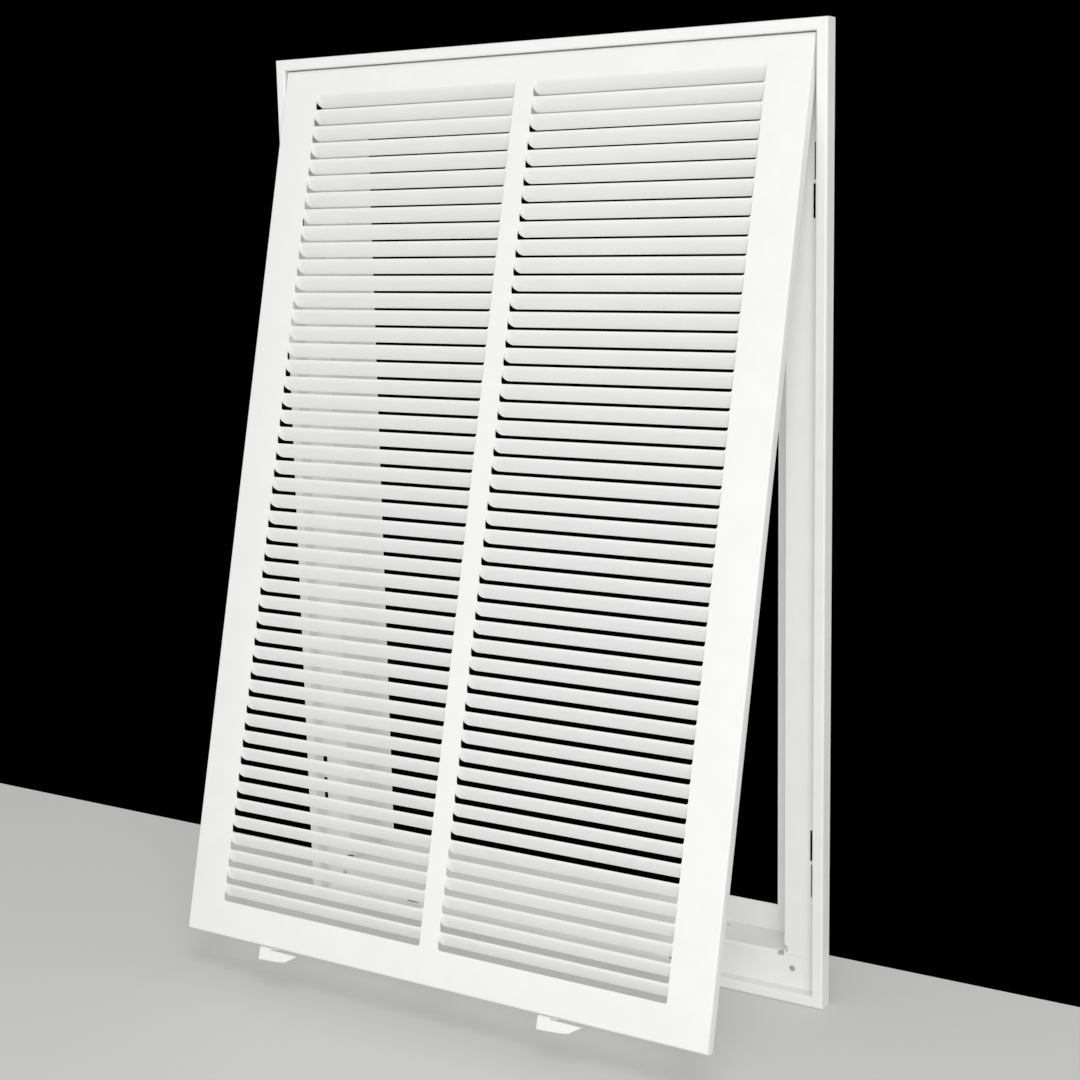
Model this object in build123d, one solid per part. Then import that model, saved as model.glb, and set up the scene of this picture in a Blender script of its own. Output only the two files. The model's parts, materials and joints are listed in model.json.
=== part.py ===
from build123d import *
from math import atan2, cos, hypot, sin, sqrt
import os

# Return air filter grille for a 16 x 25 inch filter, millimetres.
# X runs across the face, Z up, and +Y into the wall.
# The origin is the middle of the four screw holes, on the back of the frame's recessed floor.

# Whole frame
frame_width = 473.1
frame_height = 701.7
sheet = 0.8
bend_radius = 0.8
seam = 0.1

# Section of a frame rail, from its outer edge inwards
return_depth = 12.7
rim_width = 8.6
recess_depth = 9.9
neck_inset = 34.9
lip_setback = 34.0
lip_width = 20.5

# Screw holes in the top and bottom rails
screw_hole_d = 4.8
screw_side_inset = 28.1
screw_end_inset = 23.0
neck_hole_d = 2.8
neck_hole_inset = 93.8
neck_hole_setback = 27.1

# Pairs of slots in the side rails
slot_end_inset = 81.0
slot_gap = 2.7
narrow_slot_length = 25.0
narrow_slot_width = 4.0
wide_slot_length = 23.4
wide_slot_width = 4.8

# Three-sided relief where the necks of two rails meet
relief_width = 5.6
relief_height = 5.2
relief_reach = 2.4

# Door pan
door_side_gap = 1.2
door_top_gap = 1.3
door_bottom_gap = 2.0
door_recess = 1.6
flange_depth = 8.0
flange_slit = 0.6
open_angle = 14.3

# Louvres pressed out of the door's sheet
louvre_rows = 48
louvre_columns = 2
louvre_top_border = 19.4
louvre_bottom_border = 26.8
louvre_side_border = 33.3
louvre_bar = 16.2
louvre_gap = 2.9
louvre_depth = 7.0
louvre_tie = 6.2
louvre_blend = 6.0

# Hinge pins
pin_d = 3.0
pin_clearance = 0.06
pin_inset = 3.8
pin_head_d = 4.2
pin_head = 1.0
pin_reach = 3.0
swing_clearance = 0.3

# Sliding latches under the door's bottom edge
latch_left_x = -140.5
latch_right_x = 108.0
latch_travel = 6.0
latch_clearance = 0.1
latch_pivot_setback = 4.0
latch_rim_clearance = 0.8
latch_plate_margin = 4.0
leaf_height = 9.6
leaf_length = 35.5
leaf_rise = 2.0
leaf_point = 10.5
leaf_slit = 1.2
leaf_stem = 10.0
hook_width = 4.0
hook_nib = 3.0
hook_clearance = 0.35
hook_thickness = 0.8
rivet_d = 3.0
rivet_head_d = 4.8
rivet_head = 0.8
rivet_foot = 0.5
catch_clearance = 0.6
catch_width = 3.0

# Worked-out places
outer_bend = bend_radius + sheet
floor_back = 0
floor_front = floor_back - sheet
rim_front = floor_front - recess_depth
wall_face = rim_front + return_depth
bend_end = rim_width + bend_radius
door_width = frame_width - 2 * (rim_width + door_side_gap)
door_top = frame_height / 2 - rim_width - door_top_gap
door_bottom = -frame_height / 2 + rim_width + door_bottom_gap
door_height = door_top - door_bottom
door_front = rim_front + door_recess
louvre_pitch = (door_height - louvre_top_border - louvre_bottom_border) / louvre_rows
column_width = (door_width - 2 * louvre_side_border - louvre_bar) / louvre_columns
hinge_y = door_front + pin_inset
hinge_z = door_top - pin_inset
hinge_axis = Axis((0, hinge_y, hinge_z), (1, 0, 0))


def block(x0, x1, y0, y1, z0, z1):
    """Box between two corners."""
    return Pos((x0 + x1) / 2, (y0 + y1) / 2, (z0 + z1) / 2) * Box(x1 - x0, y1 - y0, z1 - z0)


def rod(radius, start, end):
    """Cylinder from one point to another."""
    run = Vector(*end) - Vector(*start)
    return extrude(Plane(origin=start, z_dir=run) * Circle(radius), run.length)


def rail_strip(length):
    """Rolled sheet of one rail along X, its outer edge at Z = 0 and its neck towards +Z."""
    corners = [
        (0, wall_face),
        (0, rim_front),
        (rim_width, rim_front),
        (rim_width, floor_front),
        (neck_inset, floor_front),
        (neck_inset, lip_setback),
        (neck_inset + lip_width, lip_setback),
    ]
    radii = [outer_bend, outer_bend, bend_radius, outer_bend, bend_radius]
    visible_side = FilletPolyline(*corners, radius=radii)
    section = make_face(offset(visible_side, amount=sheet, side=Side.LEFT).edges())
    along_x = Plane(origin=(length / 2, 0, 0), x_dir=(0, 0, 1), z_dir=(-1, 0, 0))
    return extrude(along_x * section, length)


def mitred(strip, length):
    """Cut both ends of a rail at 45 degrees, half a seam short of the corner's line."""
    depth = neck_inset + lip_width + sheet
    half = (length - seam) / 2
    outline = Polyline((-half, 0), (half, 0), (half - depth, depth), (depth - half, depth), close=True)
    wedge = extrude(Plane.XZ * make_face(outline), 2 * return_depth + lip_setback, both=True)
    return strip & wedge


def corner_relief(side, length):
    """Three-sided gap where this rail's neck meets the next one, beside the corner."""
    corner = length / 2 - neck_inset
    outline = Polyline(
        (side * (corner + sheet), floor_front - sheet),
        (side * (corner - relief_width), floor_front - sheet),
        (side * (corner - relief_width / 2), floor_back + relief_height),
        close=True,
    )
    prism = extrude(make_face(outline), 2 * relief_reach + sheet)
    return Pos(0, 0, neck_inset - relief_reach - sheet) * prism


def floor_ear(side, length):
    """Floor of a top or bottom rail that runs on through the corner square."""
    reach = length / 2 - bend_end - seam
    inner = length / 2 - neck_inset - outer_bend
    ear = block(inner, reach, floor_front, floor_back, bend_end, neck_inset - outer_bend)
    return ear if side > 0 else mirror(ear, Plane.YZ)


def floor_notch(side, length):
    """Room at the end of a side rail's floor for the ear of the rail that crosses it."""
    end = length / 2 - neck_inset + outer_bend - seam
    notch = block(end, length / 2, floor_front - sheet, floor_back + sheet, bend_end, neck_inset)
    return notch if side > 0 else mirror(notch, Plane.YZ)


def cross_rail(has_catches):
    """Top or bottom rail, built as the bottom one."""
    rail = mitred(rail_strip(frame_width), frame_width)
    for side in (-1, 1):
        rail += floor_ear(side, frame_width)
        rail -= corner_relief(side, frame_width)
        hole_x = side * (frame_width / 2 - screw_side_inset)
        rail -= rod(screw_hole_d / 2, (hole_x, floor_front - sheet, screw_end_inset),
                    (hole_x, floor_back + sheet, screw_end_inset))
        duct_x = side * (frame_width / 2 - neck_hole_inset)
        rail -= rod(neck_hole_d / 2, (duct_x, neck_hole_setback, neck_inset - 2 * sheet),
                    (duct_x, neck_hole_setback, neck_inset + sheet))
    if has_catches:
        for x in (latch_left_x, latch_right_x):
            rail -= catch_slot(x)
    return rail


def catch_slot(x):
    """Slot in the bottom rail's floor that a latch's hook goes through."""
    start = x - hook_width / 2 - catch_clearance
    end = x + hook_width / 2 + latch_travel + catch_clearance
    return block(start, end, floor_front - sheet, floor_back + sheet, bend_end, bend_end + catch_width)


def side_rail():
    """Left or right rail, built along X like the bottom one, before its hinge hole."""
    rail = mitred(rail_strip(frame_height), frame_height)
    for side in (-1, 1):
        rail -= floor_notch(side, frame_height)
        rail -= corner_relief(side, frame_height)
        outer = side * (frame_height / 2 - slot_end_inset)
        inner = outer - side * (narrow_slot_length + slot_gap)
        rail -= floor_slot(outer, outer - side * narrow_slot_length, narrow_slot_width)
        rail -= floor_slot(inner, inner - side * wide_slot_length, wide_slot_width)
    return rail


def floor_slot(start, end, width):
    """Slot through the floor, beside the step wall."""
    low, high = sorted((start, end))
    return block(low, high, floor_front - sheet, floor_back + sheet, bend_end, bend_end + width)


def place_rail(rail, turn, reach):
    """Turn a rail built at the bottom to its own side of the frame."""
    return Rot(0, turn, 0) * Pos(0, 0, -reach) * rail


def hinge_holes():
    """Bores for both hinge pins, through the side rails' step walls."""
    radius = pin_d / 2 + pin_clearance
    inner = frame_width / 2 - rim_width - sheet
    outer = frame_width / 2 - rim_width + 2 * sheet
    right = rod(radius, (inner, hinge_y, hinge_z), (outer, hinge_y, hinge_z))
    return right + mirror(right, Plane.YZ)


def louvre_section(x, share):
    """Corners of a louvre's section; share is 0 at a tied end and 1 along the blade."""
    full_tilt = atan2(louvre_depth, louvre_pitch - louvre_gap)
    full_chord = hypot(louvre_depth, louvre_pitch - louvre_gap)
    tilt = full_tilt * share
    chord = louvre_tie + (full_chord - louvre_tie) * sqrt(1 - (1 - share) ** 2)
    low_y = chord * sin(tilt)
    low_z = -chord * cos(tilt)
    return [
        Vector(x, 0, 0),
        Vector(x, low_y, low_z),
        Vector(x, low_y + sheet * cos(tilt), low_z + sheet * sin(tilt)),
        Vector(x, sheet / cos(tilt), 0),
    ]


def flat_face(*corners):
    """Flat face between corners."""
    return Face(Wire.make_polygon(corners, close=True))


def louvre():
    """One louvre: tied to the sheet at its two ends, its lower edge pressed inwards."""
    stations = [
        (0, 0),
        (louvre_blend / 2, 0.5),
        (louvre_blend, 1),
        (column_width - louvre_blend, 1),
        (column_width - louvre_blend / 2, 0.5),
        (column_width, 0),
    ]
    sections = [louvre_section(x, share) for x, share in stations]
    faces = [flat_face(*sections[0]), flat_face(*sections[-1])]
    for left, right in zip(sections, sections[1:]):
        for here in range(3):
            faces.append(flat_face(left[here], left[here + 1], right[here]))
            faces.append(flat_face(left[here + 1], right[here + 1], right[here]))
        faces.append(flat_face(left[0], right[0], right[3], left[3]))
    return Solid(Shell(faces)).clean()


def column_left_edge(column):
    """X of the left edge of one column of louvres."""
    return -door_width / 2 + louvre_side_border + column * (column_width + louvre_bar)


def door_pan():
    """Flat face with its flange turned back on four sides, before the louvres."""
    centre = (door_top + door_bottom) / 2
    outer = Box(door_width, flange_depth, door_height)
    outer = fillet(outer.faces().sort_by(Axis.Y)[0].edges(), outer_bend)
    inner = Box(door_width - 2 * sheet, flange_depth - sheet, door_height - 2 * sheet)
    inner = fillet(inner.faces().sort_by(Axis.Y)[0].edges(), bend_radius)
    pan = outer - Pos(0, sheet / 2, 0) * inner
    for side in (-1, 1):
        edge = door_width / 2 - sheet
        for level in (-1, 1):
            slit = block(edge - flange_slit, edge, outer_bend - flange_depth / 2, flange_depth,
                         door_height / 2 - 2 * sheet, door_height / 2 + sheet)
            slit = slit if side > 0 else mirror(slit, Plane.YZ)
            pan -= slit if level > 0 else mirror(slit, Plane.XY)
    return Pos(0, door_front + flange_depth / 2, centre) * pan


def swing_room():
    """Corner above and behind the hinge that would strike the frame's floor as the door swings."""
    radius = floor_front - hinge_y - swing_clearance
    edge = door_width / 2 + sheet
    corner = block(-edge, edge, hinge_y, door_front + flange_depth + sheet, hinge_z, door_top + sheet)
    return corner - rod(radius, (-edge, hinge_y, hinge_z), (edge, hinge_y, hinge_z))


def louvre_door():
    """Door with its louvres and holes, closed."""
    door = door_pan() - swing_room()
    field_top = door_top - louvre_top_border
    blades = []
    for column in range(louvre_columns):
        left = column_left_edge(column)
        door -= block(left, left + column_width, door_front - sheet, door_front + 2 * sheet,
                      field_top - louvre_rows * louvre_pitch, field_top)
        for row in range(louvre_rows):
            blades.append(Pos(left, door_front, field_top - row * louvre_pitch) * louvre())
    edge = door_width / 2
    door -= rod(pin_d / 2, (-edge - sheet, hinge_y, hinge_z), (-edge + 2 * sheet, hinge_y, hinge_z))
    door -= rod(pin_d / 2, (edge - 2 * sheet, hinge_y, hinge_z), (edge + sheet, hinge_y, hinge_z))
    for x in (latch_left_x, latch_right_x):
        y = door_front + latch_pivot_setback
        door -= rod(rivet_d / 2, (x, y, door_bottom - sheet), (x, y, door_bottom + 2 * sheet))
    return door.fuse(*blades)


def hinge_pin(side):
    """Headed pin, held in the door's side flange and free in the rail's step wall."""
    inside = side * (door_width / 2 - sheet)
    tip = side * (frame_width / 2 - rim_width + sheet + pin_reach)
    shank = rod(pin_d / 2, (inside, hinge_y, hinge_z), (tip, hinge_y, hinge_z))
    head = rod(pin_head_d / 2, (inside - side * pin_head, hinge_y, hinge_z), (inside, hinge_y, hinge_z))
    return shank + head


def latch_plate():
    """Flat part of a latch under the door's flange, with its slot, hook and front stem."""
    top = -latch_clearance
    bottom = top - sheet
    left = -latch_travel - latch_plate_margin
    right = latch_plate_margin
    front = latch_pivot_setback - latch_plate_margin
    back = flange_depth - sheet
    hook_start = floor_back - door_front + hook_clearance
    hook_end = hook_start + hook_thickness
    plate = block(left, right, front, back, bottom, top)
    plate += block(-hook_width / 2, hook_width / 2, back - sheet, hook_end, bottom, top)
    plate += block(-hook_width / 2, hook_width / 2 + hook_nib, hook_start, hook_end, bottom, top)
    slot = SlotCenterToCenter(latch_travel, rivet_d + 2 * pin_clearance)
    plate -= Pos(-latch_travel / 2, latch_pivot_setback, bottom) * extrude(slot, 2 * sheet, both=True)
    return plate


def latch_leaf():
    """Finger leaf that hangs in front of the frame's rim, bent down from the latch's plate."""
    left = -latch_travel - latch_plate_margin
    top = -latch_clearance
    leaf_back = -door_recess - latch_rim_clearance
    front = latch_pivot_setback - latch_plate_margin
    bend = FilletPolyline((front + sheet, top), (leaf_back - sheet, top),
                          (leaf_back - sheet, top - outer_bend - leaf_slit), radius=outer_bend)
    strip = make_face(offset(bend, amount=sheet, side=Side.LEFT).edges())
    stem = extrude(Plane(origin=(left, 0, 0), x_dir=(0, 1, 0), z_dir=(1, 0, 0)) * strip, leaf_stem)
    under_bend = top - outer_bend
    high = top - leaf_slit
    low = top - leaf_height
    outline = Polyline(
        (left, under_bend),
        (left + leaf_stem, under_bend),
        (left + leaf_stem + leaf_slit, high),
        (left + leaf_length, high),
        (left + leaf_length - leaf_point, low + leaf_rise),
        (left + leaf_length / 2, low + leaf_rise / 2),
        (left, low),
        close=True,
    )
    plate = extrude(Plane.XZ * make_face(outline), sheet)
    return stem + Pos(0, leaf_back, 0) * plate


def latch(x):
    """One sliding latch, door closed."""
    return Pos(x, door_front, door_bottom) * (latch_plate() + latch_leaf())


def latch_rivet(x):
    """Rivet that is fixed in the door's flange and that the latch slides on."""
    y = door_front + latch_pivot_setback
    under_plate = door_bottom - 2 * latch_clearance - sheet
    shank = rod(rivet_d / 2, (x, y, under_plate), (x, y, door_bottom + sheet))
    head = rod(rivet_head_d / 2, (x, y, door_bottom + sheet), (x, y, door_bottom + sheet + rivet_head))
    foot = rod(rivet_head_d / 2, (x, y, under_plate - rivet_foot), (x, y, under_plate))
    return shank + head + foot


def opened(piece):
    """Swing a piece of the door from closed to its resting angle."""
    return piece.rotate(hinge_axis, -open_angle)


cross = place_rail(cross_rail(False), 180, frame_height / 2)
upright = side_rail()
nodes = {
    "frame_rail_top": cross,
    "frame_rail_bottom": place_rail(cross_rail(True), 0, frame_height / 2),
    "frame_rail_left": place_rail(upright, 90, frame_width / 2) - hinge_holes(),
    "frame_rail_right": place_rail(upright, -90, frame_width / 2) - hinge_holes(),
    "louvre_door": opened(louvre_door()),
    "hinge_pin_left": opened(hinge_pin(-1)),
    "hinge_pin_right": opened(hinge_pin(1)),
    "latch_left": opened(latch(latch_left_x)),
    "latch_right": opened(latch(latch_right_x)),
    "latch_rivet_left": opened(latch_rivet(latch_left_x)),
    "latch_rivet_right": opened(latch_rivet(latch_right_x)),
}

os.makedirs("parts", exist_ok=True)
for name, shape in nodes.items():
    export_step(shape, f"parts/{name}.step")
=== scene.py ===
"""Return air filter grille: looks, camera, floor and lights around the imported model."""
import json
import math

import bpy
from mathutils import Matrix, Vector


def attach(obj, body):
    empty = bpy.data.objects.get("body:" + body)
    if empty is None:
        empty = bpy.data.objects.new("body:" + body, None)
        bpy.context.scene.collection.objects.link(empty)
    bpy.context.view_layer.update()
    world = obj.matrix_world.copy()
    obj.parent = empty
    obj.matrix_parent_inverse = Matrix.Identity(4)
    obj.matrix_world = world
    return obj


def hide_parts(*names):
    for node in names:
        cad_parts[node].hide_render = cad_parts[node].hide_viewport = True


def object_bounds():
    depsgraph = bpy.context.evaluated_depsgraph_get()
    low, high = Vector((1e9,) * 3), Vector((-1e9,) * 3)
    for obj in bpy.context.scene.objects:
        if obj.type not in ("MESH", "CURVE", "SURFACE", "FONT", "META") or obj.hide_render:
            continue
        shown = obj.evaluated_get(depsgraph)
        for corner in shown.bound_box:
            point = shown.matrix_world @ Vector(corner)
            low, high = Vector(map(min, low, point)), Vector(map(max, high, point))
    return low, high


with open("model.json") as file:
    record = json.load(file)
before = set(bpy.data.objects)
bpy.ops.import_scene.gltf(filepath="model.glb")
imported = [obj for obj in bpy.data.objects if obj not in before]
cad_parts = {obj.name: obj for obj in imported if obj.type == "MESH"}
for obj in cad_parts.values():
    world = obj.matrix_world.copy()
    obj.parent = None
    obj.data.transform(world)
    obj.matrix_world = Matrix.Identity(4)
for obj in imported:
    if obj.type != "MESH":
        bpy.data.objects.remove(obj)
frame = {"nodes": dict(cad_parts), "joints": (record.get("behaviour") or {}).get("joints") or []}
cad_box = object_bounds()
MM = 0.001

# Camera, fitted to the photo: place in metres, right, down and forward axes, lens in millimetres
CAMERA_PLACE = (0.72868, -1.17185, 0.2240)
CAMERA_AXES = (
    (0.84977, 0.52671, -0.02135),
    (0.07446, -0.16003, -0.9843),
    (-0.52186, 0.83484, -0.17521),
)
LENS = 60.6
SENSOR = 36.0
CLIP_START = 0.05

# Lamps: name, place and target in metres, width in metres, power in watts
LAMPS = (
    ("key", (1.5, -2.4, 0.4), (0.05, 0, 0), 1.4, 29),
    ("fill", (-0.9, -2.3, 0.3), (-0.1, 0, 0.1), 1.4, 7),
    ("top", (0.9, -1.1, 2.1), (0.1, 0, -0.1), 1.2, 10),
)
WORLD_STRENGTH = 0.58
BACKGROUND = (0, 0, 0)

# Floor sheet, in metres
FLOOR_WIDTH = 2.6
FLOOR_FRONT = -1.9
FLOOR_BACK = 0.085

# Colours, linear
POWDER_COAT = (0.86, 0.86, 0.855)
ZINC = (0.60, 0.61, 0.62)
FLOOR = (0.70, 0.70, 0.69)

# Powder coat: roughness and its spread, shares of the colour, and the noise at which they are met
FRAME_GLOSS = 0.36
DOOR_GLOSS = 0.34
GLOSS_SPREAD = 0.035
GLOSS_NOISE = (0.3, 0.7)
COAT_SHARES = (0.975, 1.015)
COAT_NOISE = (0.25, 0.75)

# Thin coat and painted shade at edges: reach in metres, share of the colour, flatness and the thinness
# and shade it stands for
EDGE_REACH = 0.0004
EDGE_SAMPLES = 4
EDGE_SHARE = 0.90
EDGE_FLATNESS = (0.80, 0.97)
EDGE_THINNESS_AND_SHADE = (0.55, 0.0)

# Zinc plate and floor paper
ZINC_STRETCH = (6.0, 1.0, 1.0)
ZINC_SHARES = (0.8, 1.0)
ZINC_ROUGHNESS = (0.28, 0.5)
FLOOR_SHARES = (0.985, 1.0)
FLOOR_ROUGHNESS = 0.75

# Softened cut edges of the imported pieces: width in millimetres, segments and least angle
SHEET_EDGE = 0.12
PIN_EDGE = 0.1
EDGE_SEGMENTS = 2
EDGE_ANGLE = math.radians(50)

# Angle from which the door's shading has a sharp edge
SMOOTH_ANGLE = math.radians(40)

# Door as part.py has it, closed, in millimetres
SHEET = 0.8
BEND = 1.6
DOOR_WIDTH = 453.5
DOOR_TOP = 340.95
DOOR_BOTTOM = -340.25
DOOR_FRONT = -9.1
FLANGE_DEPTH = 8.0
FLANGE_SLIT = 0.6
PIN_INSET = 3.8
SWING_RADIUS = 4.2
HINGE_LEVEL = DOOR_TOP - PIN_INSET
ROWS = 48
COLUMNS = 2
FIELD_HEIGHT = 635.0
PITCH = FIELD_HEIGHT / ROWS
TOP_BORDER = 19.4
SIDE_BORDER = 33.3
BAR = 16.2
FIELD_TOP = DOOR_TOP - TOP_BORDER
FIELD_BOTTOM = FIELD_TOP - ROWS * PITCH

# Louvres, close to part.py's, with round ends and folds, in millimetres
GAP = 3.25
LOUVRE_DEPTH = 7.2
TIE = 6.4
BLEND = 2.8
HEIGHT_POWER = 4
DEPTH_POWER = 2

# Fold at a louvre's upper edge, as a share of its height
FOLD = 0.3

# Where the door's surface has points: shares of a louvre's height and of its end, levels above the
# hinge and a narrow rim beside the columns in millimetres, and steps of a bend
HEIGHT_STEPS = (0, 0.08, 0.17, 0.3, 0.47, 0.65, 0.83, 1)
END_STEPS = (0, 0.06, 0.16, 0.3, 0.46, 0.64, 0.82, 1)
HINGE_STEPS = (1.5, 0.8, 0)
RIM = 0.5
BEND_STEPS = 5

# Radius of a slot's lower corners, which ends at one of the end steps
CORNER = END_STEPS[5] * BLEND

# Decimals of a millimetre to which points are rounded, and what counts as nothing
DECIMALS = 4
NOTHING = 1e-6


class Nodes:
    """Short way to build a node tree."""

    def __init__(self, tree):
        self.tree = tree
        tree.nodes.clear()

    def add(self, kind, **settings):
        node = self.tree.nodes.new(kind)
        for key, value in settings.items():
            if key in node.inputs:
                node.inputs[key].default_value = value
            else:
                setattr(node, key, value)
        return node

    def link(self, start, end):
        self.tree.links.new(start, end)

    def map_range(self, value, before, after):
        """Number that runs over 'after' while the value runs over 'before'."""
        node = self.add("ShaderNodeMapRange")
        for socket, number in zip(("From Min", "From Max", "To Min", "To Max"), (*before, *after)):
            node.inputs[socket].default_value = number
        self.link(value, node.inputs["Value"])
        return node.outputs["Result"]

    def tint(self, value, color, shares, stops=(0, 1)):
        """Colour that runs between two shares of a colour while the value runs between two stops."""
        node = self.add("ShaderNodeValToRGB")
        for element, share, stop in zip(node.color_ramp.elements, shares, stops):
            element.position = stop
            element.color = scaled(color, share)
        self.link(value, node.inputs["Fac"])
        return node.outputs["Color"]


def scaled(color, share):
    """Share of a colour, opaque."""
    return (*[channel * share for channel in color], 1)


def surface(name):
    """New material with a Principled shader and its object coordinates."""
    material = bpy.data.materials.new(name)
    material.use_nodes = True
    nodes = Nodes(material.node_tree)
    shader = nodes.add("ShaderNodeBsdfPrincipled")
    out = nodes.add("ShaderNodeOutputMaterial")
    nodes.link(shader.outputs["BSDF"], out.inputs["Surface"])
    place = nodes.add("ShaderNodeTexCoord").outputs["Object"]
    return material, nodes, shader, place


def powder_coat(name, gloss):
    """White powder coat: orange peel, slight unevenness in gloss and colour, thin at edges with painted
    shade.
    """
    material, nodes, shader, place = surface(name)
    peel = nodes.add("ShaderNodeTexNoise", Scale=620.0, Detail=2.0, Roughness=0.45)
    wave = nodes.add("ShaderNodeTexNoise", Scale=14.0, Detail=1.0, Roughness=0.4)
    cloud = nodes.add("ShaderNodeTexNoise", Scale=45.0, Detail=4.0, Roughness=0.6)
    for texture in (peel, wave, cloud):
        nodes.link(place, texture.inputs["Vector"])
    spread = (gloss - GLOSS_SPREAD, gloss + GLOSS_SPREAD)
    roughness = nodes.map_range(cloud.outputs["Fac"], GLOSS_NOISE, spread)
    nodes.link(roughness, shader.inputs["Roughness"])

    # Painted shade: the colour is darker at sharp edges and creases, standing for both a thin coat and
    # shade there
    rounded = nodes.add("ShaderNodeBevel", samples=EDGE_SAMPLES, Radius=EDGE_REACH)
    geometry = nodes.add("ShaderNodeNewGeometry")
    flatness = nodes.add("ShaderNodeVectorMath", operation="DOT_PRODUCT")
    nodes.link(rounded.outputs["Normal"], flatness.inputs[0])
    nodes.link(geometry.outputs["Normal"], flatness.inputs[1])
    thin_coat_and_shade = nodes.add("ShaderNodeMix", data_type="RGBA")
    thinness_and_shade = nodes.map_range(flatness.outputs["Value"], EDGE_FLATNESS, EDGE_THINNESS_AND_SHADE)
    full = nodes.tint(cloud.outputs["Fac"], POWDER_COAT, COAT_SHARES, COAT_NOISE)
    nodes.link(thinness_and_shade, thin_coat_and_shade.inputs["Factor"])
    nodes.link(full, thin_coat_and_shade.inputs["A"])
    thin_coat_and_shade.inputs["B"].default_value = scaled(POWDER_COAT, EDGE_SHARE)
    nodes.link(thin_coat_and_shade.outputs["Result"], shader.inputs["Base Color"])

    broad = nodes.add("ShaderNodeBump", Strength=0.10, Distance=0.004)
    fine = nodes.add("ShaderNodeBump", Strength=0.16, Distance=0.0002)
    nodes.link(wave.outputs["Fac"], broad.inputs["Height"])
    nodes.link(peel.outputs["Fac"], fine.inputs["Height"])
    nodes.link(broad.outputs["Normal"], fine.inputs["Normal"])
    nodes.link(fine.outputs["Normal"], shader.inputs["Normal"])
    return material


def zinc_plate(name):
    """Zinc-plated steel with fine turning marks and dull patches."""
    material, nodes, shader, place = surface(name)
    shader.inputs["Metallic"].default_value = 1.0
    stretch = nodes.add("ShaderNodeMapping", Scale=ZINC_STRETCH)
    nodes.link(place, stretch.inputs["Vector"])
    marks = nodes.add("ShaderNodeTexNoise", Scale=900.0, Detail=3.0, Roughness=0.6)
    nodes.link(stretch.outputs["Vector"], marks.inputs["Vector"])
    patches = nodes.add("ShaderNodeTexVoronoi", Scale=1500.0)
    nodes.link(place, patches.inputs["Vector"])
    color = nodes.tint(patches.outputs["Distance"], ZINC, ZINC_SHARES)
    nodes.link(color, shader.inputs["Base Color"])
    roughness = nodes.map_range(marks.outputs["Fac"], (0, 1), ZINC_ROUGHNESS)
    nodes.link(roughness, shader.inputs["Roughness"])
    bump = nodes.add("ShaderNodeBump", Strength=0.2, Distance=0.00005)
    nodes.link(marks.outputs["Fac"], bump.inputs["Height"])
    nodes.link(bump.outputs["Normal"], shader.inputs["Normal"])
    return material


def floor_paper(name):
    """Plain pale studio paper with a faint grain."""
    material, nodes, shader, place = surface(name)
    shader.inputs["Roughness"].default_value = FLOOR_ROUGHNESS
    grain = nodes.add("ShaderNodeTexNoise", Scale=300.0, Detail=3.0)
    nodes.link(place, grain.inputs["Vector"])
    color = nodes.tint(grain.outputs["Fac"], FLOOR, FLOOR_SHARES)
    nodes.link(color, shader.inputs["Base Color"])
    return material


def dress(name, material, edge):
    """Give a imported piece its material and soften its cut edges."""
    node = frame["nodes"][name]
    node.data.materials.clear()
    node.data.materials.append(material)
    softened = node.modifiers.new("cut_edges", "BEVEL")
    softened.width = edge * MM
    softened.segments = EDGE_SEGMENTS
    softened.limit_method = "ANGLE"
    softened.angle_limit = EDGE_ANGLE
    softened.harden_normals = True


class Skin:
    """Sheet metal's outer surface, whose faces share the points that they meet at."""

    def __init__(self):
        self.points = {}
        self.faces = []

    def point(self, place):
        key = tuple(round(value, DECIMALS) for value in place)
        return self.points.setdefault(key, len(self.points))

    def face(self, *corners):
        around = [self.point(corner) for corner in corners]
        kept = [p for here, p in enumerate(around) if p != around[here - 1]]
        if len(kept) > 2:
            self.faces.append(kept)

    def mesh(self, name):
        mesh = bpy.data.meshes.new(name)
        mesh.from_pydata([[v * MM for v in place] for place in self.points], [], self.faces)
        return mesh


def door_levels():
    """Places along X and Z at which the door's surface has points, and those of each column along X."""
    inner = DOOR_WIDTH / 2 - BEND
    width = (DOOR_WIDTH - 2 * SIDE_BORDER - BAR) / COLUMNS
    columns = []
    xs = [-inner, inner]
    for number in range(COLUMNS):
        left = -DOOR_WIDTH / 2 + SIDE_BORDER + number * (width + BAR)
        right = left + width
        stations = [left + BLEND * step for step in END_STEPS]
        stations += [right - BLEND * step for step in reversed(END_STEPS)]
        columns.append(stations)
        xs += [left - RIM, *stations, right + RIM]
    zs = [DOOR_TOP - BEND, *[HINGE_LEVEL + step for step in HINGE_STEPS]]
    for row in range(ROWS):
        zs += [FIELD_TOP - row * PITCH - TIE * step for step in HEIGHT_STEPS]
        zs.append(FIELD_TOP - (row + 1) * PITCH + CORNER)
    zs += [FIELD_BOTTOM, DOOR_BOTTOM + BEND]
    return sorted(xs), sorted(zs), columns


def door_face(skin, xs, zs, columns):
    """Flat borders and middle bar."""
    y = DOOR_FRONT
    for x0, x1 in zip(xs, xs[1:]):
        in_column = any(column[0] < (x0 + x1) / 2 < column[-1] for column in columns)
        for z0, z1 in zip(zs, zs[1:]):
            if not (in_column and FIELD_BOTTOM < (z0 + z1) / 2 < FIELD_TOP):
                skin.face((x0, y, z0), (x1, y, z0), (x1, y, z1), (x0, y, z1))


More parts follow.
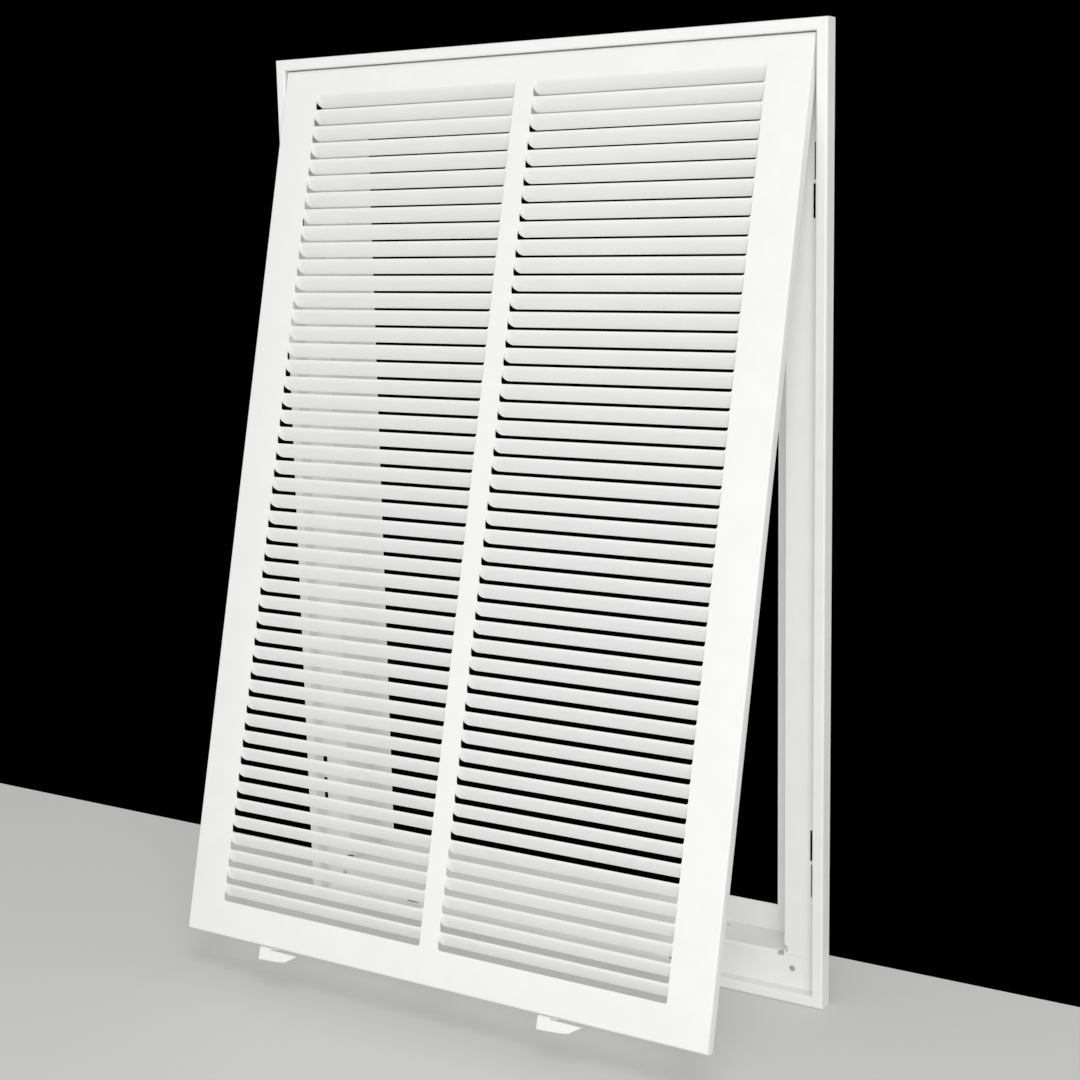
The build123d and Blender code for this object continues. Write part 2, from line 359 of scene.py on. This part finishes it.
def louvre_point(column, top, x, t):
    """Point of a louvre's outer surface; t is 0 at its upper edge and 1 at its lower edge."""
    away = 1 - min(1.0, (x - column[0]) / BLEND, (column[-1] - x) / BLEND)
    height = TIE + (PITCH - GAP - TIE) * (1 - away ** HEIGHT_POWER)
    depth = LOUVRE_DEPTH * (1 - away ** DEPTH_POWER)
    bent = t * t / (2 * FOLD) if t < FOLD else t - FOLD / 2
    return x, DOOR_FRONT + depth * bent / (1 - FOLD / 2), top - height * t


def slot_corner(skin, column, x0, x1, low):
    """Strip of sheet between two stations that rounds a lower corner of a louvre's slot."""
    heights = []
    for x in (x0, x1):
        away = CORNER - min(x - column[0], column[-1] - x)
        if away < -NOTHING:
            return
        heights.append(CORNER - math.sqrt(CORNER ** 2 - max(away, 0) ** 2))
    skin.face((x0, DOOR_FRONT, low), (x1, DOOR_FRONT, low),
              (x1, DOOR_FRONT, low + heights[1]), (x0, DOOR_FRONT, low + heights[0]))


def door_louvres(skin, columns):
    """All columns of louvres."""
    for column in columns:
        for row in range(ROWS):
            top = FIELD_TOP - row * PITCH
            for x0, x1 in zip(column, column[1:]):
                for t0, t1 in zip(HEIGHT_STEPS, HEIGHT_STEPS[1:]):
                    around = ((x0, t1), (x1, t1), (x1, t0), (x0, t0))
                    skin.face(*[louvre_point(column, top, x, t) for x, t in around])
                slot_corner(skin, column, x0, x1, top - PITCH)


def back_depth(z):
    """How far back a flange reaches at a height; it is rounded behind the hinge."""
    over = z - HINGE_LEVEL
    if over <= 0:
        return FLANGE_DEPTH
    return min(FLANGE_DEPTH, PIN_INSET + math.sqrt(SWING_RADIUS ** 2 - over ** 2))


def side_strip(skin, side, inner, zs, ring, next_ring):
    """Strip of a left or right edge, from one ring of its bend to the next or to the flange's back."""
    out0, deep0 = ring
    out1, deep1 = next_ring or (out0, None)

    def place(z, out, deep):
        z += out if z == zs[-1] else -out if z == zs[0] else 0
        return side * (inner + out), DOOR_FRONT + (back_depth(z) if deep is None else deep), z

    for z0, z1 in zip(zs, zs[1:]):
        corners = [place(z0, out0, deep0), place(z0, out1, deep1),
                   place(z1, out1, deep1), place(z1, out0, deep0)]
        skin.face(*corners[::side])


def level_strip(skin, side, xs, level, ring, next_ring):
    """Strip of a top or bottom edge, like side_strip; a slit parts its flange from the side ones."""
    out0, deep0 = ring
    out1, deep1 = next_ring or (out0, back_depth(level + side * out0))
    slit = BEND - SHEET - FLANGE_SLIT
    ends = [slit, BEND] if next_ring else [slit]
    marks = [(xs[0], end) for end in reversed(ends)]
    marks += [(x, 0) for x in xs] + [(xs[-1], end) for end in ends]

    def place(mark, out, deep):
        x, end = mark
        return x + math.copysign(end * out / BEND, x), DOOR_FRONT + deep, level + side * out

    for mark0, mark1 in zip(marks, marks[1:]):
        corners = [place(mark0, out0, deep0), place(mark1, out0, deep0),
                   place(mark1, out1, deep1), place(mark0, out1, deep1)]
        skin.face(*corners[::side])


def door_edges(skin, xs, zs):
    """Rounded bends and flanges on the four sides."""
    turns = [math.radians(90 * step / BEND_STEPS) for step in range(BEND_STEPS + 1)]
    rings = [(BEND * math.sin(turn), BEND * (1 - math.cos(turn))) for turn in turns]
    for side, level in ((-1, zs[0]), (1, zs[-1])):
        for ring, next_ring in zip(rings, [*rings[1:], None]):
            side_strip(skin, side, xs[-1], zs, ring, next_ring)
            level_strip(skin, side, xs, level, ring, next_ring)


def make_door(material):
    """The louvred door with smooth bends and pressed louvres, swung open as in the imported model."""
    skin = Skin()
    xs, zs, columns = door_levels()
    door_face(skin, xs, zs, columns)
    door_louvres(skin, columns)
    door_edges(skin, xs, zs)
    door = bpy.data.objects.new("door_sheet", skin.mesh("door_sheet"))
    bpy.context.scene.collection.objects.link(door)
    hinge = next(joint for joint in frame["joints"] if joint["name"] == "door_hinge")
    pivot = Vector(hinge["pos_m"])
    swing = Matrix.Rotation(math.radians(hinge["range_deg"][0]), 4, "X")
    door.data.transform(Matrix.Translation(pivot) @ swing @ Matrix.Translation(-pivot))
    thick = door.modifiers.new("sheet", "SOLIDIFY")
    thick.thickness = SHEET * MM
    thick.offset = -1
    thick.use_even_offset = True
    thick.use_quality_normals = True
    soften(door)
    door.data.materials.append(material)
    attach(door, "door")
    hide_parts("louvre_door")


def soften(piece):
    """Apply a piece's modifiers and smooth its shading up to its sharp edges."""
    bpy.context.view_layer.update()
    evaluated = piece.evaluated_get(bpy.context.evaluated_depsgraph_get())
    applied = bpy.data.meshes.new_from_object(evaluated)
    applied.name = piece.name
    piece.modifiers.clear()
    piece.data = applied
    applied.polygons.foreach_set("use_smooth", [True] * len(applied.polygons))
    applied.set_sharp_from_angle(angle=SMOOTH_ANGLE)


def make_floor(low):
    """Pale floor sheet that ends just behind the object."""
    half = FLOOR_WIDTH / 2
    corners = [(-half, FLOOR_FRONT), (half, FLOOR_FRONT), (half, FLOOR_BACK), (-half, FLOOR_BACK)]
    mesh = bpy.data.meshes.new("floor")
    mesh.from_pydata([(x, y, low) for x, y in corners], [], [range(len(corners))])
    mesh.materials.append(floor_paper("floor_paper"))
    floor = bpy.data.objects.new("floor", mesh)
    bpy.context.scene.collection.objects.link(floor)


def make_world():
    """Soft even light from all round, dark where the camera or a reflection sees it."""
    world = bpy.data.worlds.new("studio")
    bpy.context.scene.world = world
    world.use_nodes = True
    nodes = Nodes(world.node_tree)
    soft = nodes.add("ShaderNodeBackground", Color=(1, 1, 1, 1), Strength=WORLD_STRENGTH)
    dark = nodes.add("ShaderNodeBackground", Color=(*BACKGROUND, 1), Strength=1.0)
    path = nodes.add("ShaderNodeLightPath")
    either = nodes.add("ShaderNodeMath", operation="MAXIMUM")
    mix = nodes.add("ShaderNodeMixShader")
    out = nodes.add("ShaderNodeOutputWorld")
    nodes.link(path.outputs["Is Camera Ray"], either.inputs[0])
    nodes.link(path.outputs["Is Glossy Ray"], either.inputs[1])
    nodes.link(either.outputs["Value"], mix.inputs["Fac"])
    nodes.link(soft.outputs["Background"], mix.inputs[1])
    nodes.link(dark.outputs["Background"], mix.inputs[2])
    nodes.link(mix.outputs["Shader"], out.inputs["Surface"])


def make_lamp(name, place, target, size, power):
    """Square soft box that looks at a point."""
    data = bpy.data.lights.new(name, "AREA")
    data.shape = "SQUARE"
    data.size = size
    data.energy = power
    lamp = bpy.data.objects.new(name, data)
    bpy.context.scene.collection.objects.link(lamp)
    lamp.location = place
    aim = Vector(target) - Vector(place)
    lamp.rotation_mode = "QUATERNION"
    lamp.rotation_quaternion = aim.to_track_quat("-Z", "Y")


def make_camera():
    """Camera at the photo's place and angle."""
    data = bpy.data.cameras.new("camera")
    data.lens = LENS
    data.sensor_width = SENSOR
    data.clip_start = CLIP_START
    camera = bpy.data.objects.new("camera", data)
    bpy.context.scene.collection.objects.link(camera)
    right, down, forward = (Vector(axis) for axis in CAMERA_AXES)
    turn = Matrix((right, -down, -forward)).transposed().to_4x4()
    camera.matrix_world = Matrix.Translation(CAMERA_PLACE) @ turn
    bpy.context.scene.camera = camera


make_camera()

frame_coat = powder_coat("frame_powder_coat", FRAME_GLOSS)
door_coat = powder_coat("door_powder_coat", DOOR_GLOSS)
latch_coat = powder_coat("latch_powder_coat", FRAME_GLOSS)
zinc = zinc_plate("zinc_plate")
for side in ("top", "bottom", "left", "right"):
    dress(f"frame_rail_{side}", frame_coat, SHEET_EDGE)
make_door(door_coat)
for side in ("left", "right"):
    dress(f"latch_{side}", latch_coat, SHEET_EDGE)
    dress(f"hinge_pin_{side}", zinc, PIN_EDGE)
    dress(f"latch_rivet_{side}", zinc, PIN_EDGE)

make_floor(cad_box[0].z)
make_world()
for lamp in LAMPS:
    make_lamp(*lamp)

bpy.context.scene.view_settings.view_transform = "Standard"

bpy.context.view_layer.update()
